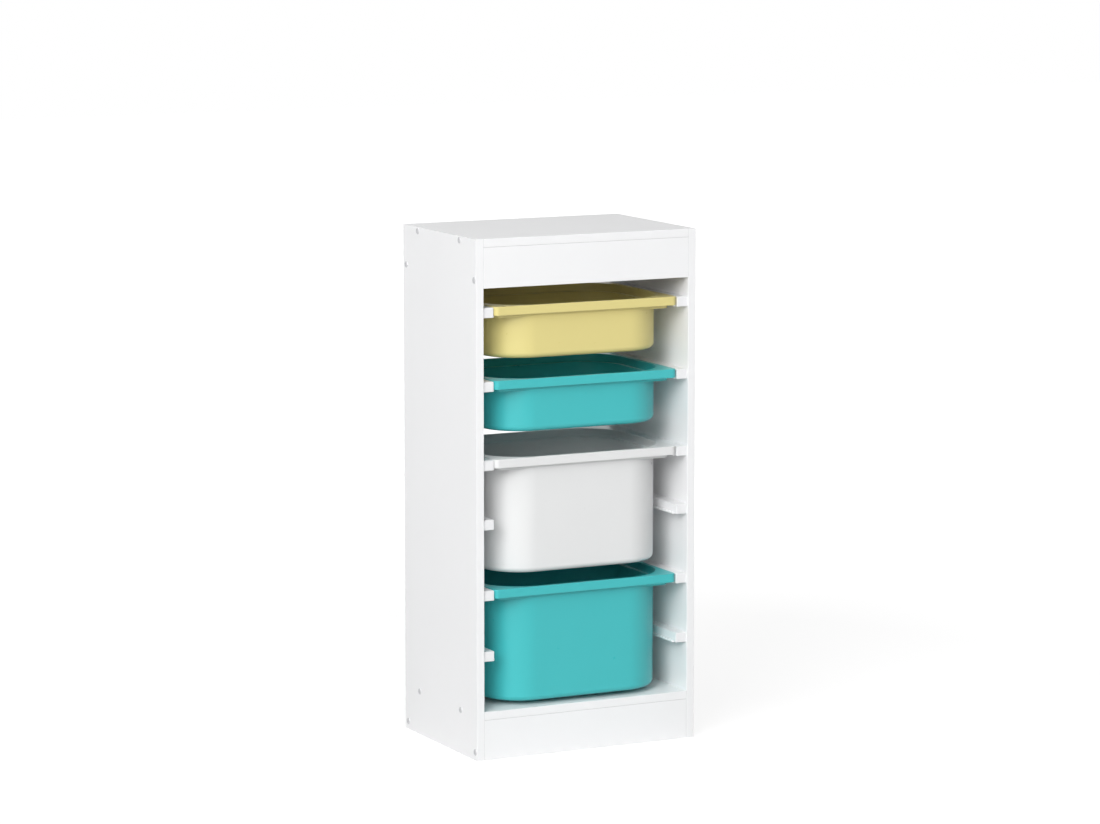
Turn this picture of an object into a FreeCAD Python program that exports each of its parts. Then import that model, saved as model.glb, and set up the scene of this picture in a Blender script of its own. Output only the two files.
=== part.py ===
import FreeCAD, Part
import math
import os

# Open storage frame of laminated board with six pairs of runners and four
# pull-out plastic bins, two shallow and two deep.
# Millimetres. X runs across the front, Y from the front to the back, Z up.
# The origin is the middle of the footprint, on the floor.

os.makedirs("parts", exist_ok=True)

V = FreeCAD.Vector

# ---------------------------------------------------------------- frame boards
FRAME_WIDTH = 440.0
FRAME_DEPTH = 308.0
BOARD = 15.0                  # thickness of every board
RAIL_HEIGHT = 73.0            # apron, plinth and both back rails
BACK_RAIL_INSET = 6.0         # back rails stand this far inside the back edge
EDGE_CHAMFER = 0.5            # eased edge of each board

# ------------------------------------------- how the bins stand over each other
DEEP_HEIGHT = 212.0
SHALLOW_HEIGHT = 97.0
GAP_OVER_SHELF = 8.0          # bottom shelf to the lower deep bin
GAP_BETWEEN_DEEP = 23.0       # rim of the lower deep bin to the upper deep bin
GAP_OVER_DEEP = 44.0          # rim of the upper deep bin to the shallow bin
GAP_BETWEEN_SHALLOW = 35.0    # rim of the lower shallow bin to the upper one
GAP_UNDER_APRON = 34.0        # rim of the highest bin to the apron
LOWER_SPARE_DROP = 110.0      # spare runner below the lower deep bin's runner
UPPER_SPARE_DROP = 107.0      # spare runner below the upper deep bin's runner

# --------------------------------------------------------------------- runners
RUNNER_WIDTH = 21.0
RUNNER_HEIGHT = 18.0
RUNNER_SETBACK = 3.0          # front end behind the front of the frame
RUNNER_WALL = 2.2
RUNNER_CHAMFER = 0.8
LEDGE_WIDTH = 4.0             # lip along the foot of the runner, under the rim
LEDGE_THICKNESS = 3.0
LEDGE_SETBACK = 8.0           # the lip starts behind the runner's front end
STOP_THICKNESS = 3.0          # upstand that ends the lip behind the bin
RIB_THICKNESS = 1.8
RIB_PITCH = 36.0
PAD_LENGTH = 12.0             # solid stretch round a screw or a peg
PEG_AT = 24.0                 # from the runner's front end
PEG_DIAMETER = 8.0
PEG_LENGTH = 9.0
FRONT_SCREW_AT = 98.0
BACK_SCREW_INSET = 30.0       # from the runner's back end

# ------------------------------------------------------------------------ bins
RIM_SETBACK = 0.5             # rim behind the front of the frame
RIM_DEPTH = 285.2
RIM_SIDE_GAP = 0.7            # rim to the runner's face
RIM_SEAT_GAP = 0.3            # rim to the runner's lip
RIM_HOME_GAP = 1.0            # rim to the stop when the bin is pushed home
RIM_HEIGHT = 15.7
RIM_CORNER = 10.0
FLANGE_WIDTH = 7.3            # from the rim's outer edge to the mouth
MOUTH_CORNER = 82.0
MOUTH_DEPTH = 15.0            # from the rim's top to the step inside
STEP_WIDTH = 6.5              # the step inside, all round
COLLAR_DROP = 21.5            # from the rim's top to the foot of the collar
COLLAR_CORNER = 10.0
WALL = 2.5
BOTTOM_ROUND = 10.0           # outer round between wall and bottom
DRAFT_DEGREES = 0.1           # taper of the walls below the collar
LIP_ROUND = 1.0               # round on the rim's top edges

# ------------------------------------------------------------------- fasteners
SCREW_ROW_FRONT = 68.0        # from the front edge, in the top and the shelf
SCREW_ROW_BACK = 244.0
RAIL_SCREW_RISE = 15.0        # above the lower edge of each rail
RAIL_DOWEL_DROP = 18.0        # below the upper edge of each rail
HEAD_RADIUS = 5.8
HEAD_HEIGHT = 1.6
HEAD_SHOULDER = 0.9           # height of the head's rim under its crown
HEAD_SHOULDER_INSET = 0.3
HEAD_CROWN_INSET = 1.6        # from the head's outside to the flat on top
NECK_RADIUS = 3.5
SHANK_RADIUS = 2.5
SHANK_LENGTH = 35.0           # in the edge of the board that it holds
SCREW_POINT_RADIUS = 0.75
CROSS_LENGTH = 6.4
CROSS_WIDTH = 1.3
CROSS_DEPTH = 1.1
DOWEL_RADIUS = 4.0
DOWEL_LENGTH = 30.0
DOWEL_IN_SIDE = 10.0          # length that sits in the side panel
DOWEL_CHAMFER = 0.8
RUNNER_SCREW_RADIUS = 1.75
RUNNER_SCREW_HEAD = 3.5
RUNNER_SCREW_CONE = 2.0       # height of the countersunk head
RUNNER_SCREW_GRIP = 10.0      # length in the side panel
RUNNER_SCREW_SINK = 9.0       # head below the runner's face
HOLE_CLEARANCE = 0.15         # round every fastener
HOLE_END_GAP = 0.5            # past the end of every blind hole

OVERSHOOT = 1.0               # how far a cutter runs past the face that it opens
TOLERANCE = 0.001             # for finding edges by their place

# ------------------------------------------------------------- worked-out sizes
FRONT = -FRAME_DEPTH / 2
BACK = FRAME_DEPTH / 2
SIDE_OUTER = FRAME_WIDTH / 2
SIDE_INNER = SIDE_OUTER - BOARD
SHELF_BOTTOM = RAIL_HEIGHT
SHELF_TOP = SHELF_BOTTOM + BOARD
LOWER_DEEP_TOP = SHELF_TOP + GAP_OVER_SHELF + DEEP_HEIGHT
UPPER_DEEP_TOP = LOWER_DEEP_TOP + GAP_BETWEEN_DEEP + DEEP_HEIGHT
LOWER_SHALLOW_TOP = UPPER_DEEP_TOP + GAP_OVER_DEEP + SHALLOW_HEIGHT
UPPER_SHALLOW_TOP = LOWER_SHALLOW_TOP + GAP_BETWEEN_SHALLOW + SHALLOW_HEIGHT
APRON_BOTTOM = UPPER_SHALLOW_TOP + GAP_UNDER_APRON
TOP_BOTTOM = APRON_BOTTOM + RAIL_HEIGHT
FRAME_HEIGHT = TOP_BOTTOM + BOARD
BACK_RAIL_BACK = BACK - BACK_RAIL_INSET

RUNNER_FACE = SIDE_INNER - RUNNER_WIDTH
RUNNER_FRONT = FRONT + RUNNER_SETBACK
RIM_FRONT = FRONT + RIM_SETBACK
RIM_BACK = RIM_FRONT + RIM_DEPTH
RIM_HALF_WIDTH = RUNNER_FACE - RIM_SIDE_GAP
RUNNER_BACK = RIM_BACK + RIM_HOME_GAP + STOP_THICKNESS
LEDGE_FRONT = RUNNER_FRONT + LEDGE_SETBACK
RIM_OVER_RUNNER = LEDGE_THICKNESS + RIM_SEAT_GAP + RIM_HEIGHT
PEG_Y = RUNNER_FRONT + PEG_AT
RUNNER_SCREW_ROWS = (RUNNER_FRONT + FRONT_SCREW_AT, RUNNER_BACK - BACK_SCREW_INSET)

RUNNER_LEVELS = (
    LOWER_DEEP_TOP - RIM_OVER_RUNNER - LOWER_SPARE_DROP,
    LOWER_DEEP_TOP - RIM_OVER_RUNNER,
    UPPER_DEEP_TOP - RIM_OVER_RUNNER - UPPER_SPARE_DROP,
    UPPER_DEEP_TOP - RIM_OVER_RUNNER,
    LOWER_SHALLOW_TOP - RIM_OVER_RUNNER,
    UPPER_SHALLOW_TOP - RIM_OVER_RUNNER,
)


class Outline:
    """A rounded rectangle in plan, even about the YZ plane."""

    def __init__(self, half_width, front, back, corner):
        self.half_width = half_width
        self.front = front
        self.back = back
        self.corner = corner

    def inset(self, distance):
        """The same outline moved inwards by a distance all round."""
        return Outline(
            self.half_width - distance,
            self.front + distance,
            self.back - distance,
            self.corner - distance,
        )

    def wire(self, z):
        """Four lines and four quarter circles at one height."""
        corners = (
            (self.half_width, self.front, -90),
            (self.half_width, self.back, 0),
            (-self.half_width, self.back, 90),
            (-self.half_width, self.front, 180),
        )
        arcs = []
        for x, y, start in corners:
            centre_x = x - math.copysign(self.corner, x)
            centre_y = y + self.corner if y == self.front else y - self.corner
            points = []
            for turn in (0, 45, 90):
                angle = math.radians(start + turn)
                points.append(V(centre_x + self.corner * math.cos(angle),
                                centre_y + self.corner * math.sin(angle), z))
            arcs.append(points)
        edges = []
        for index, points in enumerate(arcs):
            edges.append(Part.Arc(*points).toShape())
            following = arcs[(index + 1) % len(arcs)]
            edges.append(Part.makeLine(points[-1], following[0]))
        return Part.Wire(edges)

    def prism(self, low, high):
        """An upright solid between two heights."""
        return Part.Face(self.wire(low)).extrude(V(0, 0, high - low))

    def tapered(self, low, high, draft):
        """A solid that narrows downwards from this outline by a draft angle."""
        shrink = (high - low) * math.tan(math.radians(draft))
        return Part.makeLoft([self.inset(shrink).wire(low), self.wire(high)], True, True)


def edges_at(shape, z):
    """Edges that lie flat at one height."""
    found = []
    for edge in shape.Edges:
        box = edge.BoundBox
        if abs(box.ZMin - z) < TOLERANCE and abs(box.ZMax - z) < TOLERANCE:
            found.append(edge)
    return found


def cylinder_x(radius, start, length, y, z):
    """A cylinder along +X from a starting X."""
    return Part.makeCylinder(radius, length, V(start, y, z), V(1, 0, 0))


def mirrored(shape):
    """The same piece on the other side of the frame."""
    return shape.mirror(V(0, 0, 0), V(1, 0, 0))


def board(x_low, x_high, y_low, y_high, z_low, z_high):
    """A board with eased edges."""
    box = Part.makeBox(x_high - x_low, y_high - y_low, z_high - z_low, V(x_low, y_low, z_low))
    return box.makeChamfer(EDGE_CHAMFER, box.Edges)


# ------------------------------------------------------ where the fasteners go
def screw_places():
    """Y and Z of the eight screws through one side panel."""
    front_rail = FRONT + BOARD / 2
    back_rail = BACK_RAIL_BACK - BOARD / 2
    places = []
    for z in (SHELF_BOTTOM + BOARD / 2, TOP_BOTTOM + BOARD / 2):
        for row in (SCREW_ROW_FRONT, SCREW_ROW_BACK):
            places.append((FRONT + row, z))
    for z in (RAIL_SCREW_RISE, APRON_BOTTOM + RAIL_SCREW_RISE):
        for y in (front_rail, back_rail):
            places.append((y, z))
    return places


def dowel_places():
    """Y and Z of the six dowels in one side panel."""
    front_rail = FRONT + BOARD / 2
    back_rail = BACK_RAIL_BACK - BOARD / 2
    middle = FRONT + (SCREW_ROW_FRONT + SCREW_ROW_BACK) / 2
    places = []
    for z in (SHELF_BOTTOM + BOARD / 2, TOP_BOTTOM + BOARD / 2):
        places.append((middle, z))
    for z in (RAIL_HEIGHT - RAIL_DOWEL_DROP, TOP_BOTTOM - RAIL_DOWEL_DROP):
        for y in (front_rail, back_rail):
            places.append((y, z))
    return places


def runner_screw_places():
    """Y and Z of the twelve screws that hold the runners of one side."""
    middle = RUNNER_HEIGHT / 2
    return [(y, level + middle) for level in RUNNER_LEVELS for y in RUNNER_SCREW_ROWS]


# ------------------------------------------------------------------ the boards
def side_panel():
    """Right side panel with its holes."""
    panel = board(SIDE_INNER, SIDE_OUTER, FRONT, BACK, 0, FRAME_HEIGHT)
    holes = []
    for y, z in screw_places():
        holes.append(cylinder_x(NECK_RADIUS + HOLE_CLEARANCE, SIDE_INNER - OVERSHOOT,
                                BOARD + 2 * OVERSHOOT, y, z))
    for y, z in dowel_places():
        depth = DOWEL_IN_SIDE + HOLE_END_GAP
        holes.append(cylinder_x(DOWEL_RADIUS + HOLE_CLEARANCE, SIDE_INNER, depth, y, z))
    for y, z in runner_screw_places():
        depth = RUNNER_SCREW_GRIP + HOLE_END_GAP
        holes.append(cylinder_x(RUNNER_SCREW_RADIUS + HOLE_CLEARANCE, SIDE_INNER, depth, y, z))
    for level in RUNNER_LEVELS:
        depth = PEG_LENGTH + HOLE_END_GAP
        z = level + RUNNER_HEIGHT / 2
        holes.append(cylinder_x(PEG_DIAMETER / 2 + HOLE_CLEARANCE, SIDE_INNER, depth, PEG_Y, z))
    return panel.cut(holes)


def bored_between_sides(panel, bottom, top):
    """A cross board with the bores in its two ends for the screws and dowels it meets."""
    holes = []
    bores = [(place, SHANK_RADIUS, SHANK_LENGTH) for place in screw_places()]
    in_board = DOWEL_LENGTH - DOWEL_IN_SIDE
    bores += [(place, DOWEL_RADIUS, in_board) for place in dowel_places()]
    box = panel.BoundBox
    for (y, z), radius, length in bores:
        if bottom < z < top and box.YMin < y < box.YMax:
            depth = length + HOLE_END_GAP
            hole = cylinder_x(radius + HOLE_CLEARANCE, SIDE_INNER - depth, depth, y, z)
            holes.append(hole)
            holes.append(mirrored(hole))
    return panel.cut(holes)


def cross_board(y_low, y_high, z_low, z_high):
    """A board between the side panels."""
    plain = board(-SIDE_INNER, SIDE_INNER, y_low, y_high, z_low, z_high)
    return bored_between_sides(plain, z_low, z_high)


# ----------------------------------------------------------------- the runners
def runner_pockets(level):
    """The hollows in the back of a runner, between its ribs and its pads."""
    stations = [
        (RUNNER_FRONT, RUNNER_FRONT + RUNNER_WALL),
        (PEG_Y - PAD_LENGTH / 2, PEG_Y + PAD_LENGTH / 2),
    ]
    for y in RUNNER_SCREW_ROWS:
        stations.append((y - PAD_LENGTH / 2, y + PAD_LENGTH / 2))
    stations.append((RUNNER_BACK - RUNNER_WALL, RUNNER_BACK))
    pockets = []
    for (_, start), (end, _) in zip(stations, stations[1:]):
        count = max(1, math.ceil((end - start) / RIB_PITCH))
        length = (end - start - (count - 1) * RIB_THICKNESS) / count
        for index in range(count):
            y = start + index * (length + RIB_THICKNESS)
            corner = V(RUNNER_FACE + RUNNER_WALL, y, level + RUNNER_WALL)
            pockets.append(Part.makeBox(RUNNER_WIDTH - RUNNER_WALL, length,
                                        RUNNER_HEIGHT - 2 * RUNNER_WALL, corner))
    return pockets


def runner(level):
    """Right runner: a bar cored from behind, a lip under the bin's rim, a stop and a peg."""
    length = RUNNER_BACK - RUNNER_FRONT
    bar = Part.makeBox(RUNNER_WIDTH, length, RUNNER_HEIGHT, V(RUNNER_FACE, RUNNER_FRONT, level))
    eased = []
    for edge in bar.Edges:
        box = edge.BoundBox
        if box.XMax < SIDE_INNER - TOLERANCE or box.YMax < RUNNER_FRONT + TOLERANCE:
            eased.append(edge)
    bar = bar.makeChamfer(RUNNER_CHAMFER, eased)
    lip_start = RUNNER_FACE - LEDGE_WIDTH
    buried = RUNNER_WALL / 2
    lip = Part.makeBox(LEDGE_WIDTH + buried, RUNNER_BACK - LEDGE_FRONT, LEDGE_THICKNESS,
                       V(lip_start, LEDGE_FRONT, level))
    stop = Part.makeBox(LEDGE_WIDTH + buried, STOP_THICKNESS, RUNNER_HEIGHT,
                        V(lip_start, RUNNER_BACK - STOP_THICKNESS, level))
    middle = level + RUNNER_HEIGHT / 2
    peg = cylinder_x(PEG_DIAMETER / 2, SIDE_INNER - buried, PEG_LENGTH + buried, PEG_Y, middle)
    body = bar.fuse([lip, stop]).cut(runner_pockets(level)).fuse(peg)
    holes = []
    for y in RUNNER_SCREW_ROWS:
        shank = RUNNER_SCREW_RADIUS + HOLE_CLEARANCE
        head = RUNNER_SCREW_HEAD + HOLE_CLEARANCE
        cone_start = RUNNER_FACE + RUNNER_SCREW_SINK
        holes.append(cylinder_x(shank, RUNNER_FACE, RUNNER_WIDTH + OVERSHOOT, y, middle))
        holes.append(cylinder_x(head, RUNNER_FACE - OVERSHOOT,
                                RUNNER_SCREW_SINK + OVERSHOOT, y, middle))
        holes.append(Part.makeCone(head, shank, RUNNER_SCREW_CONE,
                                   V(cone_start, y, middle), V(1, 0, 0)))
    return body.cut(holes).removeSplitter()


# --------------------------------------------------------------- the fasteners
def turned(profile, y, z):
    """A turned part along X from points of X and radius."""
    points = [V(x, y, z + radius) for x, radius in profile]
    points.append(points[0])
    face = Part.Face(Part.makePolygon(points))
    return face.revolve(V(0, y, z), V(1, 0, 0), 360)


def panel_screw(y, z):
    """Screw through the right side panel into the edge of a board, with a cross recess."""
    top = SIDE_OUTER + HEAD_HEIGHT
    tip = SIDE_INNER - SHANK_LENGTH
    screw = turned((
        (top, 0),
        (top, HEAD_RADIUS - HEAD_CROWN_INSET),
        (SIDE_OUTER + HEAD_SHOULDER, HEAD_RADIUS - HEAD_SHOULDER_INSET),
        (SIDE_OUTER, HEAD_RADIUS),
        (SIDE_OUTER, NECK_RADIUS),
        (SIDE_INNER, NECK_RADIUS),
        (SIDE_INNER, SHANK_RADIUS),
        (tip + SHANK_RADIUS, SHANK_RADIUS),
        (tip, SCREW_POINT_RADIUS),
        (tip, 0),
    ), y, z)
    half = CROSS_LENGTH / 2
    arms = [
        Part.makeBox(CROSS_DEPTH + OVERSHOOT, CROSS_LENGTH, CROSS_WIDTH,
                     V(top - CROSS_DEPTH, y - half, z - CROSS_WIDTH / 2)),
        Part.makeBox(CROSS_DEPTH + OVERSHOOT, CROSS_WIDTH, CROSS_LENGTH,
                     V(top - CROSS_DEPTH, y - CROSS_WIDTH / 2, z - half)),
    ]
    return screw.cut(arms)


def runner_screw(y, z):
    """Countersunk screw that holds the right runner to its panel."""
    head = RUNNER_FACE + RUNNER_SCREW_SINK
    tip = SIDE_INNER + RUNNER_SCREW_GRIP
    return turned((
        (head, 0),
        (head, RUNNER_SCREW_HEAD),
        (head + RUNNER_SCREW_CONE, RUNNER_SCREW_RADIUS),
        (tip - RUNNER_SCREW_RADIUS, RUNNER_SCREW_RADIUS),
        (tip, 0),
    ), y, z)


def dowel(y, z):
    """Wooden dowel from the right side panel into the end of a board."""
    start = SIDE_INNER + DOWEL_IN_SIDE - DOWEL_LENGTH
    pin = cylinder_x(DOWEL_RADIUS, start, DOWEL_LENGTH, y, z)
    ends = [edge for edge in pin.Edges if edge.BoundBox.XLength < TOLERANCE]
    return pin.makeChamfer(DOWEL_CHAMFER, ends)


# -------------------------------------------------------------------- the bins
def storage_bin(rim_top, height):
    """A moulded bin: rim with a skirt, stepped mouth, corner collar and tapered body."""
    bottom = rim_top - height
    collar_foot = rim_top - COLLAR_DROP
    step = rim_top - MOUTH_DEPTH
    rim = Outline(RIM_HALF_WIDTH, RIM_FRONT, RIM_BACK, RIM_CORNER)
    mouth = Outline(
        RIM_HALF_WIDTH - FLANGE_WIDTH,
        RIM_FRONT + FLANGE_WIDTH,
        RIM_BACK - FLANGE_WIDTH,
        MOUTH_CORNER,
    )
    neck = mouth.inset(-WALL)
    cavity = mouth.inset(STEP_WIDTH)
    body = cavity.inset(-WALL)
    collar = Outline(body.half_width, body.front, body.back, COLLAR_CORNER)

    plate = rim.prism(rim_top - WALL, rim_top)
    skirt_foot = rim_top - RIM_HEIGHT
    skirt = rim.prism(skirt_foot, rim_top).cut(rim.inset(WALL).prism(skirt_foot, rim_top))
    web = collar.prism(collar_foot, rim_top - WALL)
    web = web.cut(collar.inset(WALL).prism(collar_foot, rim_top - WALL))
    lower = body.tapered(bottom, collar_foot, DRAFT_DEGREES)
    lower = lower.makeFillet(BOTTOM_ROUND, edges_at(lower, bottom))
    shell = plate.fuse([
        skirt,
        web,
        neck.prism(step - WALL, rim_top - WALL),
        body.prism(collar_foot, step),
        lower,
    ])

    hollow = cavity.tapered(bottom + WALL, collar_foot, DRAFT_DEGREES)
    hollow = hollow.makeFillet(BOTTOM_ROUND - WALL, edges_at(hollow, bottom + WALL))
    shell = shell.cut([
        mouth.prism(step, rim_top + OVERSHOOT),
        cavity.prism(collar_foot, step),
        hollow,
    ]).removeSplitter()
    return shell.makeFillet(LIP_ROUND, edges_at(shell, rim_top))


# ------------------------------------------------------------------- the whole
def build():
    """Every sub-part by the name of its node."""
    back_rail_front = BACK_RAIL_BACK - BOARD
    parts = {}
    right_side = side_panel()
    parts["right_side_panel"] = right_side
    parts["left_side_panel"] = mirrored(right_side)
    parts["top_panel"] = cross_board(FRONT, BACK, TOP_BOTTOM, FRAME_HEIGHT)
    parts["bottom_shelf"] = cross_board(FRONT, BACK, SHELF_BOTTOM, SHELF_TOP)
    parts["front_apron"] = cross_board(FRONT, FRONT + BOARD, APRON_BOTTOM, TOP_BOTTOM)
    parts["front_plinth"] = cross_board(FRONT, FRONT + BOARD, 0, SHELF_BOTTOM)
    parts["upper_back_rail"] = cross_board(back_rail_front, BACK_RAIL_BACK, APRON_BOTTOM, TOP_BOTTOM)
    parts["lower_back_rail"] = cross_board(back_rail_front, BACK_RAIL_BACK, 0, SHELF_BOTTOM)

    for number, level in enumerate(reversed(RUNNER_LEVELS), start=1):
        right_runner = runner(level)
        parts[f"runner_right_{number}"] = right_runner
        parts[f"runner_left_{number}"] = mirrored(right_runner)

    groups = {
        "panel_screws": [panel_screw(y, z) for y, z in screw_places()],
        "dowels": [dowel(y, z) for y, z in dowel_places()],
        "runner_screws": [runner_screw(y, z) for y, z in runner_screw_places()],
    }
    for name, pieces in groups.items():
        parts[f"{name}_right"] = Part.makeCompound(pieces)
        parts[f"{name}_left"] = Part.makeCompound([mirrored(piece) for piece in pieces])

    parts["bin_shallow_yellow"] = storage_bin(UPPER_SHALLOW_TOP, SHALLOW_HEIGHT)
    parts["bin_shallow_teal"] = storage_bin(LOWER_SHALLOW_TOP, SHALLOW_HEIGHT)
    parts["bin_deep_white"] = storage_bin(UPPER_DEEP_TOP, DEEP_HEIGHT)
    parts["bin_deep_teal"] = storage_bin(LOWER_DEEP_TOP, DEEP_HEIGHT)
    return parts


for node_name, node_shape in build().items():
    node_shape.exportStep(f"parts/{node_name}.step")
    print(node_name, len(node_shape.Solids), "solids", round(node_shape.Volume / 1000, 2), "cm3",
          "valid" if node_shape.isValid() else "NOT VALID")
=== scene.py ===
"""Looks of an open storage frame with pull-out plastic bins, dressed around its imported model.

Everything is in metres. X runs across the front, Y from the front to the back and Z up,
and the origin is the middle of the footprint, on the floor.
"""
from __future__ import annotations

import logging
import math
from dataclasses import dataclass, replace
from enum import Enum
from typing import Any, Dict, Mapping, Optional, Sequence, Tuple, Union

import bmesh
import bpy
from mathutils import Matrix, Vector


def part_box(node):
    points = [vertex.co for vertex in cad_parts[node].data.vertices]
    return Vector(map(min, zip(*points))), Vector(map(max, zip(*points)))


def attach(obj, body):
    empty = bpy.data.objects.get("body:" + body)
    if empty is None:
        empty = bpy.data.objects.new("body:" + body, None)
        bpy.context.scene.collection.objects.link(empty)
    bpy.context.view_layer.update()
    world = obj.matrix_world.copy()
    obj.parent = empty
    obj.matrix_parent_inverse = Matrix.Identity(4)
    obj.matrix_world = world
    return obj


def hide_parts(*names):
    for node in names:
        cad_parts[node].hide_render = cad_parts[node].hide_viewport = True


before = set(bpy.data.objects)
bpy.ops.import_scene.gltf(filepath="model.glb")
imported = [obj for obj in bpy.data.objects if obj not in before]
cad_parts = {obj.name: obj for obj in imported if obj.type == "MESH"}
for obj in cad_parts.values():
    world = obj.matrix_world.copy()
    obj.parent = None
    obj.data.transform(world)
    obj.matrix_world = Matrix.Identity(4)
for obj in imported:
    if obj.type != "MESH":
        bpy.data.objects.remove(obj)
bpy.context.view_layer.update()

LOG = logging.getLogger("storage_frame")

Colour = Tuple[float, float, float]
Place = Tuple[float, float, float]
Operand = Union["Signal", float, Sequence[float]]

MM = 0.001
WHITE: Colour = (1.0, 1.0, 1.0)


# ------------------------------------------------------------------ shader maths
class Signal:
    """One output socket of a node tree, with arithmetic that adds Math nodes."""

    def __init__(self, graph: "Graph", socket: bpy.types.NodeSocket) -> None:
        """Keeps the socket and the graph that it belongs to."""
        self.graph = graph
        self.socket = socket

    def _maths(self, operation: str, first: Operand, second: Operand) -> "Signal":
        """Adds one Math node.

        Args:
            operation: the Math node's operation.
            first: the left operand.
            second: the right operand.

        Returns:
            The node's result.
        """
        sockets = {0: first, 1: second}
        return self.graph.node("ShaderNodeMath", {"operation": operation}, sockets)[0]

    def __add__(self, other: Operand) -> "Signal":
        """self + other."""
        return self._maths("ADD", self, other)

    def __radd__(self, other: Operand) -> "Signal":
        """other + self."""
        return self._maths("ADD", other, self)

    def __sub__(self, other: Operand) -> "Signal":
        """self - other."""
        return self._maths("SUBTRACT", self, other)

    def __rsub__(self, other: Operand) -> "Signal":
        """other - self."""
        return self._maths("SUBTRACT", other, self)

    def __mul__(self, other: Operand) -> "Signal":
        """self * other."""
        return self._maths("MULTIPLY", self, other)

    def __rmul__(self, other: Operand) -> "Signal":
        """other * self."""
        return self._maths("MULTIPLY", other, self)

    def __truediv__(self, other: Operand) -> "Signal":
        """self / other."""
        return self._maths("DIVIDE", self, other)

    def __rtruediv__(self, other: Operand) -> "Signal":
        """other / self."""
        return self._maths("DIVIDE", other, self)

    def __pow__(self, other: Operand) -> "Signal":
        """self to the power of other."""
        return self._maths("POWER", self, other)

    def __rpow__(self, other: Operand) -> "Signal":
        """other to the power of self."""
        return self._maths("POWER", other, self)

    def smaller(self, other: Operand) -> "Signal":
        """The smaller of the two values."""
        return self._maths("MINIMUM", self, other)

    def larger(self, other: Operand) -> "Signal":
        """The larger of the two values."""
        return self._maths("MAXIMUM", self, other)

    def above(self, other: Operand) -> "Signal":
        """Is 1 where the value is the larger one."""
        return self._maths("GREATER_THAN", self, other)

    def below(self, other: Operand) -> "Signal":
        """Is 1 where the value is the smaller one."""
        return self._maths("LESS_THAN", self, other)

    def close_to(self, place: float, reach: float) -> "Signal":
        """Swells from 0 at a distance to 1 at a place.

        Args:
            place: the value where it is 1.
            reach: the distance at which it is 0.

        Returns:
            The soft line.
        """
        apart = (self - place) / reach
        return (1.0 - apart * apart).larger(0.0)


class Placed:
    """A node that stands in a graph; its outputs are read by name or number."""

    def __init__(self, graph: "Graph", node: bpy.types.Node) -> None:
        """Keeps the node and its graph."""
        self.graph = graph
        self.node = node

    def __getitem__(self, key: Union[str, int]) -> Signal:
        """One output of the node."""
        return Signal(self.graph, find_socket(self.node.outputs, key))


def find_socket(sockets: Any, key: Union[str, int]) -> bpy.types.NodeSocket:
    """Finds a socket of a node.

    Args:
        sockets: the node's inputs or outputs.
        key: the socket's number, identifier or name.

    Returns:
        The socket.
    """
    if isinstance(key, int):
        return sockets[key]
    for socket in sockets:
        if socket.identifier == key:
            return socket
    return sockets[key]


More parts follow.
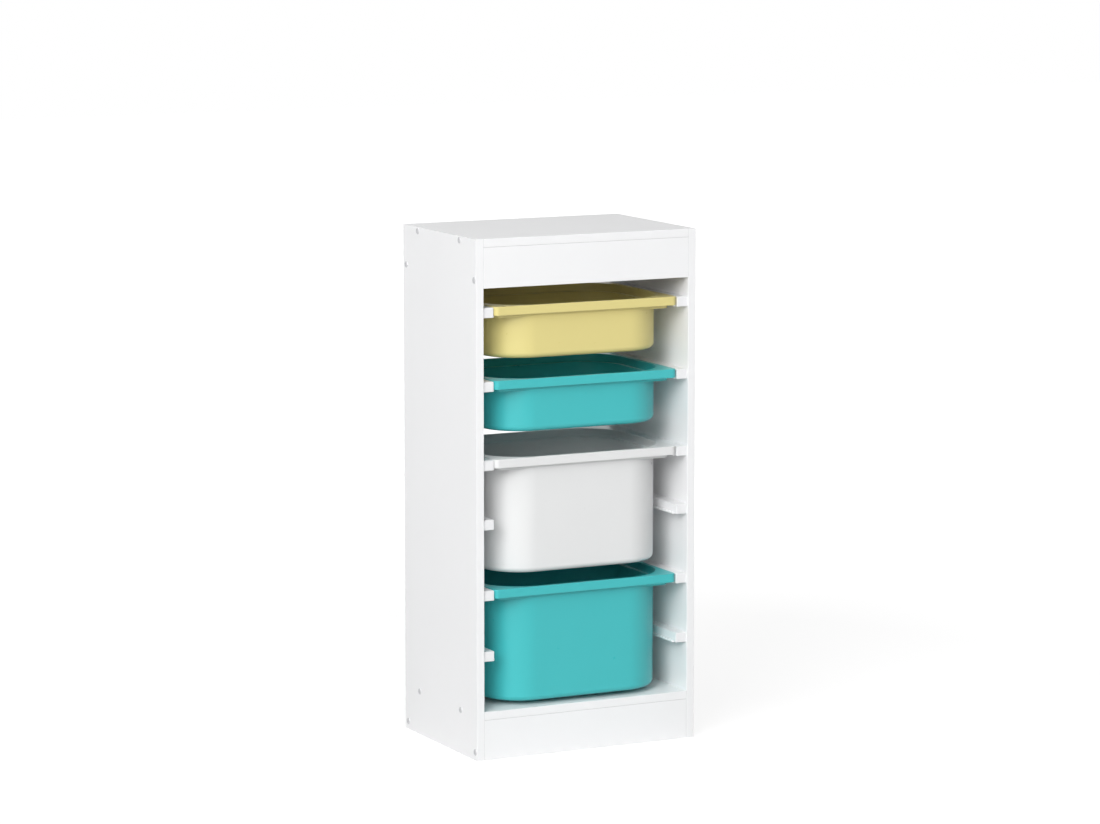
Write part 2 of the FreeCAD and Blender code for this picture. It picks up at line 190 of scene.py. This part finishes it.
class Graph:
    """The node tree of a material or of the world, empty at the start."""

    falloff = 0.55  # of each finer layer of the noise

    def __init__(self, owner: Union[bpy.types.Material, bpy.types.World]) -> None:
        """Turns nodes on and clears the tree.

        Args:
            owner: the material or world whose tree it is.
        """
        owner.use_nodes = True
        self.tree = owner.node_tree
        self.tree.nodes.clear()

    def node(
        self,
        kind: str,
        settings: Optional[Mapping[str, Any]] = None,
        sockets: Optional[Mapping[Union[str, int], Operand]] = None,
    ) -> Placed:
        """Adds a node.

        Args:
            kind: the node's type.
            settings: properties that are set first; "stops" are a ramp's places and colours.
            sockets: values or signals for its inputs, by name, identifier or number.

        Returns:
            The placed node.
        """
        node = self.tree.nodes.new(kind)
        for name, value in (settings or {}).items():
            if name == "stops":
                self._fill_ramp(node.color_ramp, value)
            else:
                setattr(node, name, value)
        for key, value in (sockets or {}).items():
            socket = find_socket(node.inputs, key)
            if isinstance(value, Signal):
                self.tree.links.new(value.socket, socket)
            else:
                socket.default_value = value
        return Placed(self, node)

    @staticmethod
    def _fill_ramp(ramp: bpy.types.ColorRamp, stops: Sequence[Tuple[float, Colour]]) -> None:
        """Gives a colour ramp its stops.

        Args:
            ramp: the ramp.
            stops: places from 0 to 1 with their colours, from the first to the last.
        """
        while len(ramp.elements) < len(stops):
            ramp.elements.new(1.0)
        for element, (place, colour) in zip(ramp.elements, stops):
            element.position = place
            element.color = (*colour, 1.0)

    def object_place(self) -> Signal:
        """The Object coordinates, which are the place in the row's frame."""
        return self.node("ShaderNodeTexCoord")["Object"]

    def noise(self, place: Signal, size: float, detail: float = 2.0) -> Signal:
        """Soft noise with blobs of about one size.

        Args:
            place: the coordinates.
            size: the size of a blob in metres.
            detail: how many finer layers it has.

        Returns:
            A value round 0.5.
        """
        sockets = {
            "Vector": place,
            "Scale": 1.0 / size,
            "Detail": detail,
            "Roughness": self.falloff,
        }
        return self.node("ShaderNodeTexNoise", sockets=sockets)[0]

    def stretched(self, place: Signal, scale: Sequence[float]) -> Signal:
        """The coordinates stretched along the axes."""
        return self.node("ShaderNodeMapping", sockets={"Vector": place, "Scale": scale})[0]

    def mixed(self, share: Operand, first: Operand, second: Operand) -> Signal:
        """Mixes two colours.

        Args:
            share: 0 for the first colour, 1 for the second.
            first: a colour or a signal.
            second: a colour or a signal.

        Returns:
            The mixed colour.
        """
        sockets = {"Factor_Float": share, "A_Color": first, "B_Color": second}
        return self.node("ShaderNodeMix", {"data_type": "RGBA"}, sockets)["Result_Color"]

    def bump(
        self, height: Signal, depth: float, strength: float, under: Optional[Signal] = None
    ) -> Signal:
        """A bump.

        Args:
            height: the pattern, from 0 to 1.
            depth: how deep it is, in metres.
            strength: how much of it shows.
            under: a normal that it is added to.

        Returns:
            The normal.
        """
        sockets: Dict[Union[str, int], Operand] = {
            "Height": height,
            "Distance": depth,
            "Strength": strength,
        }
        if under is not None:
            sockets["Normal"] = under
        return self.node("ShaderNodeBump", sockets=sockets)["Normal"]

    def surface(self, **sockets: Operand) -> None:
        """Adds the surface shader and the output.

        Args:
            sockets: the shader's inputs, with underscores for blanks.
        """
        inputs = {name.replace("_", " "): value for name, value in sockets.items()}
        shader = self.node("ShaderNodeBsdfPrincipled", sockets=inputs)
        self.output(shader["BSDF"])

    def output(self, shader: Signal) -> None:
        """Ends a material's graph with a shader."""
        self.node("ShaderNodeOutputMaterial", sockets={"Surface": shader})


def opaque(colour: Colour) -> Tuple[float, float, float, float]:
    """A colour with full alpha, as sockets take it."""
    return (*colour, 1.0)


# ---------------------------------------------------------------------- finishes
@dataclass(frozen=True)
class Laminate:
    """White foil on particle board, with a fine pearl in the foil and painted shadow lines at
    the board joints.
    """

    name: str = "white_laminate"
    colour: Colour = (0.850, 0.853, 0.860)
    shade: Colour = (0.828, 0.831, 0.838)
    cloud_size: float = 180 * MM
    pearl_size: float = 0.7 * MM
    pearl_depth: float = 0.03 * MM
    pearl_strength: float = 0.30
    wave_size: float = 60 * MM
    wave_depth: float = 0.12 * MM
    wave_strength: float = 0.25
    roughness: float = 0.44
    roughness_swing: float = 0.10
    # painted shadow: the dark colour of the lines where the boards butt, standing in for the
    # shade of a joint gap that the solids do not have
    seam_shadow: Colour = (0.30, 0.30, 0.31)
    seam_reach: float = 0.45 * MM
    level_share: float = 0.6
    upright_share: float = 0.35
    skin: float = 1 * MM

    def _seam_shadows(self, graph: Graph, place: Signal) -> Signal:
        """Draws the shadow lines where the cross boards meet each other and the sides.

        Args:
            graph: the material's graph.
            place: the Object coordinates.

        Returns:
            How dark the line is, from 0 to 1.
        """
        side_low, side_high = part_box("right_side_panel")
        apron_low, apron_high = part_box("front_apron")
        plinth_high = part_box("front_plinth")[1]
        shelf_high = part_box("bottom_shelf")[1]
        axes = graph.node("ShaderNodeSeparateXYZ", sockets={0: place})
        x, y, z = axes[0], axes[1], axes[2]
        front = y.below(side_low.y + self.skin)
        back = y.above(side_high.y - self.skin)
        outside = front.larger(back).larger(z.above(side_high.z - self.skin))
        inner = side_low.x
        between = (x * x).below(inner * inner)
        apron_line = z.close_to(apron_high.z, self.seam_reach)
        level = apron_line.larger(z.close_to(plinth_high.z, self.seam_reach))
        upright = (x * x).close_to(inner * inner, 2 * inner * self.seam_reach)
        boards = z.above(apron_low.z).larger(z.below(shelf_high.z))
        return (level * front * between * self.level_share).larger(
            upright * outside * boards * self.upright_share
        )

    def material(self) -> bpy.types.Material:
        """Builds the material.

        Returns:
            The new material.
        """
        material = bpy.data.materials.new(self.name)
        graph = Graph(material)
        place = graph.object_place()
        cloud = graph.noise(place, self.cloud_size, 3.0)
        pearl = graph.noise(place, self.pearl_size, 2.0)
        wave = graph.noise(place, self.wave_size, 1.0)
        waved = graph.bump(wave, self.wave_depth, self.wave_strength)
        foil = graph.mixed(cloud, opaque(self.colour), opaque(self.shade))
        graph.surface(
            # the foil is darkened by painted shadow lines along the board joints
            Base_Color=graph.mixed(self._seam_shadows(graph, place), foil, opaque(self.seam_shadow)),
            Roughness=self.roughness + (pearl - 0.5) * self.roughness_swing,
            Normal=graph.bump(pearl, self.pearl_depth, self.pearl_strength, waved),
        )
        return material


@dataclass(frozen=True)
class MouldedPlastic:
    """Satin moulded plastic with a spark-eroded grain and faint flow clouds."""

    name: str
    colour: Colour
    shade: Colour
    roughness: float = 0.30
    roughness_swing: float = 0.12
    specular: float = 0.38
    rubbed_size: float = 14 * MM
    grain_size: float = 0.8 * MM
    grain_depth: float = 0.04 * MM
    grain_strength: float = 0.35
    flow_size: float = 90 * MM
    flow_stretch: Place = (1.0, 1.0, 0.45)

    def material(self) -> bpy.types.Material:
        """Builds the material.

        Returns:
            The new material.
        """
        material = bpy.data.materials.new(self.name)
        graph = Graph(material)
        place = graph.object_place()
        flow = graph.noise(graph.stretched(place, self.flow_stretch), self.flow_size, 3.0)
        grain = graph.noise(place, self.grain_size, 2.0)
        rubbed = graph.noise(place, self.rubbed_size, 4.0)
        graph.surface(
            Base_Color=graph.mixed(flow, opaque(self.colour), opaque(self.shade)),
            Roughness=self.roughness + (rubbed - 0.5) * self.roughness_swing,
            Specular_IOR_Level=self.specular,
            Normal=graph.bump(grain, self.grain_depth, self.grain_strength),
        )
        return material


@dataclass(frozen=True)
class ZincSteel:
    """Zinc plated steel, a little clouded."""

    name: str = "zinc_steel"
    colour: Colour = (0.66, 0.66, 0.67)
    shade: Colour = (0.52, 0.52, 0.54)
    roughness: float = 0.34
    roughness_swing: float = 0.3
    cloud_size: float = 2.5 * MM
    scratch_size: float = 0.5 * MM
    scratch_depth: float = 0.03 * MM
    scratch_strength: float = 0.3
    scratch_stretch: Place = (1.0, 0.2, 1.0)

    def material(self) -> bpy.types.Material:
        """Builds the material.

        Returns:
            The new material.
        """
        material = bpy.data.materials.new(self.name)
        graph = Graph(material)
        place = graph.object_place()
        cloud = graph.noise(place, self.cloud_size, 3.0)
        lengthened = graph.stretched(place, self.scratch_stretch)
        scratch = graph.noise(lengthened, self.scratch_size, 2.0)
        graph.surface(
            Base_Color=graph.mixed(cloud, opaque(self.colour), opaque(self.shade)),
            Metallic=1.0,
            Roughness=self.roughness + (cloud - 0.5) * self.roughness_swing,
            Normal=graph.bump(scratch, self.scratch_depth, self.scratch_strength),
        )
        return material


@dataclass(frozen=True)
class Beech:
    """Turned beech with its grain along X."""

    name: str = "beech"
    early: Colour = (0.62, 0.43, 0.25)
    late: Colour = (0.47, 0.29, 0.15)
    fleck: Colour = (0.33, 0.19, 0.10)
    ring_size: float = 2.2 * MM
    fleck_size: float = 0.5 * MM
    fleck_depth: float = 0.06 * MM
    fleck_strength: float = 0.5
    fleck_contrast: float = 3.0
    grain_stretch: Place = (0.08, 1.0, 1.0)
    roughness: float = 0.6
    roughness_swing: float = 0.2

    def material(self) -> bpy.types.Material:
        """Builds the material.

        Returns:
            The new material.
        """
        material = bpy.data.materials.new(self.name)
        graph = Graph(material)
        along = graph.stretched(graph.object_place(), self.grain_stretch)
        rings = graph.noise(along, self.ring_size, 2.0)
        flecks = graph.noise(along, self.fleck_size, 1.0) ** self.fleck_contrast
        wood = graph.mixed(rings, opaque(self.early), opaque(self.late))
        graph.surface(
            Base_Color=graph.mixed(flecks, wood, opaque(self.fleck)),
            Roughness=self.roughness + (rings - 0.5) * self.roughness_swing,
            Normal=graph.bump(flecks, self.fleck_depth, self.fleck_strength),
        )
        return material


# ------------------------------------------------------------------- hand tools
@dataclass(frozen=True)
class Outline:
    """A rounded rectangle in plan, even about the YZ plane."""

    half_width: float
    front: float
    back: float
    corner: float

    @property
    def middle(self) -> float:
        """The Y of its middle."""
        return (self.front + self.back) / 2

    @property
    def depth(self) -> float:
        """Its size along Y."""
        return self.back - self.front

    def inset(self, distance: float) -> "Outline":
        """The same outline moved inwards.

        Args:
            distance: how far, all round.

        Returns:
            The smaller outline.
        """
        return Outline(
            self.half_width - distance,
            self.front + distance,
            self.back - distance,
            self.corner - distance,
        )


class Join(Enum):
    """How one solid meets another."""

    ADD = "UNION"
    CUT = "DIFFERENCE"


class Blank:
    """A closed solid that is drawn up or down from a flat plate, stretch by stretch."""

    corner_segments = 20
    tolerance = 0.001 * MM
    crease = math.radians(20)

    def __init__(self, name: str, outline: Outline, z: float) -> None:
        """Lays a flat plate and rounds its corners.

        Args:
            name: the object's name.
            outline: the plate's outline.
            z: its height.
        """
        bpy.ops.object.select_all(action="DESELECT")
        bpy.ops.mesh.primitive_plane_add(size=1.0, location=(0.0, outline.middle, z))
        self.obj = bpy.context.active_object
        self.obj.name = name
        self.obj.scale = (2 * outline.half_width, outline.depth, 1.0)
        bpy.ops.object.transform_apply(location=True, rotation=True, scale=True)
        bpy.ops.object.mode_set(mode="EDIT")
        bpy.ops.mesh.select_all(action="SELECT")
        bpy.ops.mesh.bevel(
            offset_type="ABSOLUTE",
            offset=outline.corner,
            segments=self.corner_segments,
            affect="VERTICES",
        )
        bpy.ops.mesh.select_mode(type="FACE")
        bpy.ops.mesh.select_all(action="SELECT")

    def draw(self, rise: float, narrow: float = 0.0) -> "Blank":
        """Draws the selected end up or down.

        Args:
            rise: how far along Z.
            narrow: how far it closes in from all sides on the way.

        Returns:
            The blank itself.
        """
        if narrow:
            bpy.ops.mesh.inset(thickness=narrow, use_even_offset=True)
            bpy.ops.transform.translate(value=(0.0, 0.0, rise))
        else:
            bpy.ops.mesh.extrude_region_move(TRANSFORM_OT_translate={"value": (0.0, 0.0, rise)})
        return self

    def round_over(self, z: float, radius: float, segments: int) -> "Blank":
        """Rounds the creases that lie at one height.

        Args:
            z: the height.
            radius: the round's radius.
            segments: how many facets it has.

        Returns:
            The blank itself.
        """
        bpy.ops.mesh.select_mode(type="EDGE")
        bpy.ops.mesh.select_all(action="DESELECT")
        mesh = bmesh.from_edit_mesh(self.obj.data)
        for edge in mesh.edges:
            level = all(abs(vert.co.z - z) < self.tolerance for vert in edge.verts)
            if level and abs(edge.calc_face_angle(0.0)) > self.crease:
                edge.select_set(True)
        bmesh.update_edit_mesh(self.obj.data)
        bpy.ops.mesh.bevel(offset=radius, segments=segments, affect="EDGES")
        return self

    def close(self) -> "Blank":
        """Turns all faces outwards and leaves edit mode.

        Returns:
            The blank itself.
        """
        bpy.ops.mesh.select_all(action="SELECT")
        bpy.ops.mesh.normals_make_consistent(inside=False)
        bpy.ops.object.mode_set(mode="OBJECT")
        return self

    def combine(self, other: "Blank", join: Join) -> "Blank":
        """Adds another closed solid to this one, or cuts it away.

        Args:
            other: the other solid, which is used up.
            join: whether it is added or cut.

        Returns:
            The blank itself.
        """
        pick(self.obj)
        bpy.ops.object.modifier_add(type="BOOLEAN")
        modifier = self.obj.modifiers[-1]
        modifier.operation = join.value
        modifier.solver = "EXACT"
        modifier.object = other.obj
        bpy.ops.object.modifier_apply(modifier=modifier.name)
        bpy.data.objects.remove(other.obj)
        return self

    def polish(self, crease: float) -> bpy.types.Object:
        """Merges doubles and shades the curved faces smooth.

        Args:
            crease: edges sharper than this angle stay sharp.

        Returns:
            The finished object.
        """
        pick(self.obj)
        bpy.ops.object.mode_set(mode="EDIT")
        bpy.ops.mesh.select_all(action="SELECT")
        bpy.ops.mesh.remove_doubles(threshold=self.tolerance)
        bpy.ops.mesh.normals_make_consistent(inside=False)
        bpy.ops.object.mode_set(mode="OBJECT")
        bpy.ops.object.shade_smooth_by_angle(angle=crease)
        bpy.ops.object.modifier_add(type="WEIGHTED_NORMAL")
        modifier = self.obj.modifiers[-1]
        modifier.keep_sharp = True
        bpy.ops.object.modifier_apply(modifier=modifier.name)
        return self.obj


def pick(obj: bpy.types.Object) -> None:
    """Selects one object alone.

    Args:
        obj: the object, which becomes the active one.
    """
    bpy.ops.object.select_all(action="DESELECT")
    obj.select_set(True)
    bpy.context.view_layer.objects.active = obj


def dress(obj: bpy.types.Object, material: bpy.types.Material) -> None:
    """Puts one material in all slots of an object.

    Args:
        obj: the object.
        material: the material.
    """
    if not obj.material_slots:
        obj.data.materials.append(material)
    for place in obj.material_slots:
        place.material = material


# ---------------------------------------------------------------------- cabinet
@dataclass(frozen=True)
class Cabinet:
    """The frame of boards with its runners, screws and dowels."""

    boards: Tuple[str, ...] = (
        "right_side_panel",
        "left_side_panel",
        "top_panel",
        "bottom_shelf",
        "front_apron",
        "front_plinth",
        "upper_back_rail",
        "lower_back_rail",
    )
    sides: Tuple[str, ...] = ("right", "left")
    levels: int = 6
    screws: Tuple[str, ...] = ("panel_screws", "runner_screws")
    board_finish: Laminate = Laminate()
    runner_finish: MouldedPlastic = MouldedPlastic(
        "runner_plastic", (0.82, 0.825, 0.835), (0.795, 0.80, 0.81), roughness=0.42
    )
    screw_finish: ZincSteel = ZincSteel()
    dowel_finish: Beech = Beech()

    def build(self) -> None:
        """Dresses the boards and what is fixed to them."""
        self._dress_all(self.boards, self.board_finish.material())
        levels = range(1, self.levels + 1)
        runners = [f"runner_{side}_{level}" for side in self.sides for level in levels]
        self._dress_all(runners, self.runner_finish.material())
        screws = [f"{name}_{side}" for name in self.screws for side in self.sides]
        self._dress_all(screws, self.screw_finish.material())
        dowels = [f"dowels_{side}" for side in self.sides]
        self._dress_all(dowels, self.dowel_finish.material())

    @staticmethod
    def _dress_all(nodes: Sequence[str], material: bpy.types.Material) -> None:
        """Dresses nodes that share a material.

        Args:
            nodes: the nodes' names.
            material: their material.
        """
        for node in nodes:
            dress(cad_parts[node], material)
            LOG.info("%s dressed in %s", node, material.name)


# ------------------------------------------------------------------------- bins
class Plastic(Enum):
    """Colours of the bins."""

    YELLOW = "yellow_plastic"
    TEAL = "teal_plastic"
    WHITE = "white_plastic"


PLASTICS: Dict[Plastic, MouldedPlastic] = {
    Plastic.YELLOW: MouldedPlastic(
        "pale_yellow_plastic", (0.70, 0.61, 0.245), (0.68, 0.59, 0.235)
    ),
    Plastic.TEAL: MouldedPlastic(
        "teal_plastic", (0.054, 0.480, 0.498), (0.049, 0.460, 0.478)
    ),
    Plastic.WHITE: MouldedPlastic(
        "off_white_plastic", (0.745, 0.75, 0.75), (0.725, 0.73, 0.73)
    ),
}


@dataclass(frozen=True)
class BinMould:
    """The mould that bins of one height come from, with its shared sizes.

    The parts under the flange start half a wall below its top, inside its plate, so that
    they join it in one solid.
    """

    node: str
    wall: float = 2.5 * MM
    rim_height: float = 15.7 * MM
    rim_corner: float = 10 * MM
    flange_width: float = 7.3 * MM
    mouth_corner: float = 82 * MM
    mouth_depth: float = 15 * MM
    step: float = 6.5 * MM
    collar_drop: float = 21.5 * MM
    collar_corner: float = 10 * MM
    bottom_round: float = 10 * MM
    bottom_steps: int = 10
    draft: float = math.radians(0.1)
    lip_round: float = 1 * MM
    lip_steps: int = 4
    edge_round: float = 0.5 * MM
    edge_steps: int = 2
    ledge_steps: int = 3
    overshoot: float = 1 * MM
    neck_play: float = 0.1 * MM
    crease: float = math.radians(32)

    @property
    def top(self) -> float:
        """The height of the rim's top."""
        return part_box(self.node)[1].z

    @property
    def bottom(self) -> float:
        """The height of the underside."""
        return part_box(self.node)[0].z

    @property
    def rim(self) -> Outline:
        """The plan of the rim, from the box of the node."""
        low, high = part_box(self.node)
        return Outline(high.x, low.y, high.y, self.rim_corner)

    @property
    def mouth(self) -> Outline:
        """The plan of the mouth."""
        return replace(self.rim.inset(self.flange_width), corner=self.mouth_corner)

    @property
    def body(self) -> Outline:
        """The plan of the body, outside."""
        return self.mouth.inset(self.step - self.wall)

    def flange(self) -> Blank:
        """The rim with its skirt.

        Returns:
            The closed solid.
        """
        foot = self.top - self.rim_height
        rim = Blank("rim", self.rim, foot).draw(self.rim_height)
        rim.round_over(self.top, self.lip_round, self.lip_steps)
        rim.round_over(foot, self.edge_round, self.edge_steps).close()
        hollow = Blank("skirt_hollow", self.rim.inset(self.wall), foot - self.overshoot)
        hollow.draw(self.rim_height - self.wall + self.overshoot).close()
        return rim.combine(hollow, Join.CUT)

    def collar(self) -> Blank:
        """The ring with tighter corners under the rim.

        Returns:
            The closed solid.
        """
        plan = replace(self.body, corner=self.collar_corner)
        foot = self.top - self.collar_drop
        height = self.collar_drop - self.wall / 2
        collar = Blank("collar", plan, foot).draw(height)
        collar.round_over(foot, self.edge_round, self.edge_steps).close()
        pocket = Blank("pocket", plan.inset(self.wall), foot - self.overshoot)
        pocket.draw(height + 2 * self.overshoot).close()
        return collar.combine(pocket, Join.CUT)

    def neck(self) -> Blank:
        """The stretch round the mouth, down to the step.

        Returns:
            The closed solid.
        """
        plan = self.mouth.inset(self.neck_play - self.wall)
        neck = Blank("neck", plan, self.top - self.wall / 2)
        return neck.draw(-self.mouth_depth - self.wall / 2).close()

    def hull(self) -> Blank:
        """The body, filled.

        Returns:
            The closed solid.
        """
        start = self.top - self.wall / 2
        foot = self.top - self.collar_drop
        fall = foot - self.bottom
        hull = Blank("hull", self.body, start).draw(foot - start)
        hull.draw(-fall, fall * math.tan(self.draft))
        return hull.round_over(self.bottom, self.bottom_round, self.bottom_steps).close()

    def cavity(self) -> Blank:
        """The space inside, with the lip's round and the step.

        Returns:
            The closed solid.
        """
        foot = self.top - self.collar_drop
        fall = foot - self.bottom - self.wall
        step = self.top - self.mouth_depth
        cavity = Blank("cavity", self.mouth.inset(-self.lip_round), self.top + self.overshoot)
        cavity.draw(-self.overshoot)
        quarter = math.radians(90)
        turns = [quarter * index / self.lip_steps for index in range(self.lip_steps + 1)]
        for start, end in zip(turns, turns[1:]):
            rise = self.lip_round * (math.cos(end) - math.cos(start))
            cavity.draw(rise, self.lip_round * (math.sin(end) - math.sin(start)))
        cavity.draw(self.lip_round - self.mouth_depth)
        cavity.draw(0.0, self.step).draw(foot - step)
        cavity.draw(-fall, fall * math.tan(self.draft))
        inner_round = self.bottom_round - self.wall
        cavity.round_over(self.bottom + self.wall, inner_round, self.bottom_steps)
        return cavity.round_over(step, self.edge_round, self.ledge_steps).close()

    def cast(self) -> bpy.types.Object:
        """Models the whole bin.

        Returns:
            The closed shell, in place.
        """
        shell = self.flange().combine(self.collar(), Join.ADD)
        shell.combine(self.neck(), Join.ADD).combine(self.hull(), Join.ADD)
        shell.combine(self.cavity(), Join.CUT)
        return shell.polish(self.crease)


@dataclass(frozen=True)
class StorageBin:
    """One pull-out bin: its node, the body that it slides with and its plastic."""

    node: str
    body: str
    plastic: Plastic

    def finish(self, shell: bpy.types.Object, material: bpy.types.Material) -> None:
        """Dresses the shell and hands it to its body.

        Args:
            shell: the modelled shell, in place.
            material: the plastic.
        """
        shell.name = self.node + "_shell"
        dress(shell, material)
        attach(shell, self.body)
        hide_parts(self.node)
        LOG.info("%s: %d faces in %s", shell.name, len(shell.data.polygons), material.name)

    def copy_from(self, shell: bpy.types.Object, other: str) -> bpy.types.Object:
        """Copies a shell of the same height to this bin's level.

        Args:
            shell: the shell of the other bin, not yet on its body.
            other: the other bin's node.

        Returns:
            The copy, with its own mesh.
        """
        pick(shell)
        bpy.ops.object.duplicate(linked=False)
        copy = bpy.context.active_object
        copy.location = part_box(self.node)[0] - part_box(other)[0]
        bpy.ops.object.transform_apply(location=True, rotation=False, scale=False)
        return copy


@dataclass(frozen=True)
class BinSet:
    """The bins, in pairs of one height."""

    shallow: Tuple[StorageBin, StorageBin] = (
        StorageBin("bin_shallow_yellow", "yellow_bin", Plastic.YELLOW),
        StorageBin("bin_shallow_teal", "shallow_teal_bin", Plastic.TEAL),
    )
    deep: Tuple[StorageBin, StorageBin] = (
        StorageBin("bin_deep_white", "white_bin", Plastic.WHITE),
        StorageBin("bin_deep_teal", "deep_teal_bin", Plastic.TEAL),
    )

    def build(self) -> None:
        """Models a bin of each height, copies it and dresses all."""
        materials = {plastic: finish.material() for plastic, finish in PLASTICS.items()}
        for first, second in (self.shallow, self.deep):
            shell = BinMould(first.node).cast()
            copy = second.copy_from(shell, first.node)
            first.finish(shell, materials[first.plastic])
            second.finish(copy, materials[second.plastic])


# ----------------------------------------------------------------------- studio
@dataclass(frozen=True)
class Softbox:
    """A large rectangular lamp, far off, that faces the middle of the object.

    Its azimuth and elevation are in degrees, as seen from the object, and its power in watts.
    """

    name: str
    azimuth: float
    elevation: float
    power: float
    width: float = 4.4
    height: float = 3.7
    distance: float = 10.0
    aim: Place = (0.0, 0.0, 0.47)

    def build(self) -> None:
        """Adds the lamp."""
        back = direction(self.azimuth, self.elevation)
        bpy.ops.object.light_add(
            type="AREA",
            location=Vector(self.aim) + back * self.distance,
            rotation=back.to_track_quat("Z", "Y").to_euler(),
        )
        lamp = bpy.context.active_object
        lamp.name = self.name
        lamp.visible_camera = False
        lamp.data.shape = "RECTANGLE"
        lamp.data.size = self.width
        lamp.data.size_y = self.height
        lamp.data.energy = self.power
        LOG.info("%s: %.0f W", self.name, self.power)


def direction(azimuth: float, elevation: float) -> Vector:
    """The way from the object to something seen from it.

    Args:
        azimuth: the angle from the front, positive to the right, in degrees.
        elevation: the angle above the floor, in degrees.

    Returns:
        The unit vector.
    """
    turn, rise = math.radians(azimuth), math.radians(elevation)
    return Vector((
        math.sin(turn) * math.cos(rise),
        -math.cos(turn) * math.cos(rise),
        math.sin(rise),
    ))


@dataclass(frozen=True)
class Studio:
    """The floor, the light round the object and the camera."""

    floor_size: float = 30.0
    floor_colour: Colour = (0.82, 0.82, 0.82)
    floor_glow: float = 1.20
    floor_share: float = 0.72  # of the glow near the object, where the shadow shows
    shadow_reach: Tuple[float, float] = (1.2, 3.0)
    ambient: float = 0.0
    backdrop_glow: float = 1.0
    softboxes: Tuple[Softbox, ...] = (
        Softbox("key_softbox", -50, 22, 500.0),
        Softbox("high_softbox", -50, 42, 245.0),
        Softbox("left_top_softbox", -75, 64, 135.0),
        Softbox("front_softbox", -26, 22, 150.0),
        Softbox("low_softbox", -26, 8, 80.0, height=2.4),
        Softbox("front_top_softbox", -26, 64, 70.0),
        Softbox("top_softbox", 0, 89, 75.0),
        Softbox("right_softbox", 52, 22, 95.0),
        Softbox("right_top_softbox", 26, 64, 55.0),
    )
    azimuth: float = -26.5056
    elevation: float = 8.3109
    camera_place: Place = (-3.2936, -6.6093, 1.6760)
    lens: float = 133.81
    sensor: float = 36.0

    def build(self) -> None:
        """Adds the floor, the world, the lamps and the camera."""
        self._floor()
        self._world()
        for softbox in self.softboxes:
            softbox.build()
        self._camera()

    @staticmethod
    def _seen(graph: Graph) -> Signal:
        """Tells whether the camera, a gloss or a clear body sees the surface.

        Args:
            graph: the graph that it is for.

        Returns:
            1 for such a ray and 0 for light.
        """
        rays = graph.node("ShaderNodeLightPath")
        seen = rays["Is Camera Ray"].larger(rays["Is Glossy Ray"])
        return seen.larger(rays["Is Transmission Ray"])

    def _floor(self) -> None:
        """Lays the pale floor, with a faint shadow near the object and white farther out."""
        bpy.ops.object.select_all(action="DESELECT")
        bpy.ops.mesh.primitive_plane_add(size=self.floor_size)
        floor = bpy.context.active_object
        floor.name = "studio_floor"
        material = bpy.data.materials.new("studio_floor")
        graph = Graph(material)
        matt = graph.node("ShaderNodeBsdfDiffuse", sockets={"Color": opaque(self.floor_colour)})
        light = {"Color": opaque(WHITE), "Strength": self.floor_glow}
        glow = graph.node("ShaderNodeEmission", sockets=light)
        near, far = self.shadow_reach
        length = {"operation": "LENGTH"}
        away = graph.node("ShaderNodeVectorMath", length, {0: graph.object_place()})["Value"]
        outer = ((away - near) / (far - near)).larger(0.0).smaller(1.0)
        share = self._seen(graph) * (self.floor_share + outer * (1.0 - self.floor_share))
        mixed = graph.node("ShaderNodeMixShader", sockets={0: share, 1: matt[0], 2: glow[0]})
        graph.output(mixed[0])
        dress(floor, material)

    def _world(self) -> None:
        """Gives the world its white backdrop, and the light that comes from all round."""
        world = bpy.data.worlds.new("studio_world")
        bpy.context.scene.world = world
        graph = Graph(world)
        white = opaque(WHITE)
        soft, backdrop = (
            graph.node("ShaderNodeBackground", sockets={"Color": white, "Strength": glow})
            for glow in (self.ambient, self.backdrop_glow)
        )
        sockets = {0: self._seen(graph), 1: soft[0], 2: backdrop[0]}
        mixed = graph.node("ShaderNodeMixShader", sockets=sockets)
        graph.node("ShaderNodeOutputWorld", sockets={"Surface": mixed[0]})

    def _camera(self) -> None:
        """Sets the camera to the photograph's view."""
        back = direction(self.azimuth, self.elevation)
        bpy.ops.object.camera_add(
            location=self.camera_place,
            rotation=back.to_track_quat("Z", "Y").to_euler(),
        )
        camera = bpy.context.active_object
        camera.name = "studio_camera"
        camera.data.sensor_fit = "HORIZONTAL"
        camera.data.sensor_width = self.sensor
        camera.data.lens = self.lens
        bpy.context.scene.camera = camera
        bpy.context.scene.view_settings.view_transform = "Standard"


def main() -> None:
    """Builds and dresses the object, then sets up the studio."""
    logging.basicConfig(level=logging.INFO, format="%(name)s: %(message)s")
    Cabinet().build()
    BinSet().build()
    Studio().build()


if __name__ == "__main__":
    main()
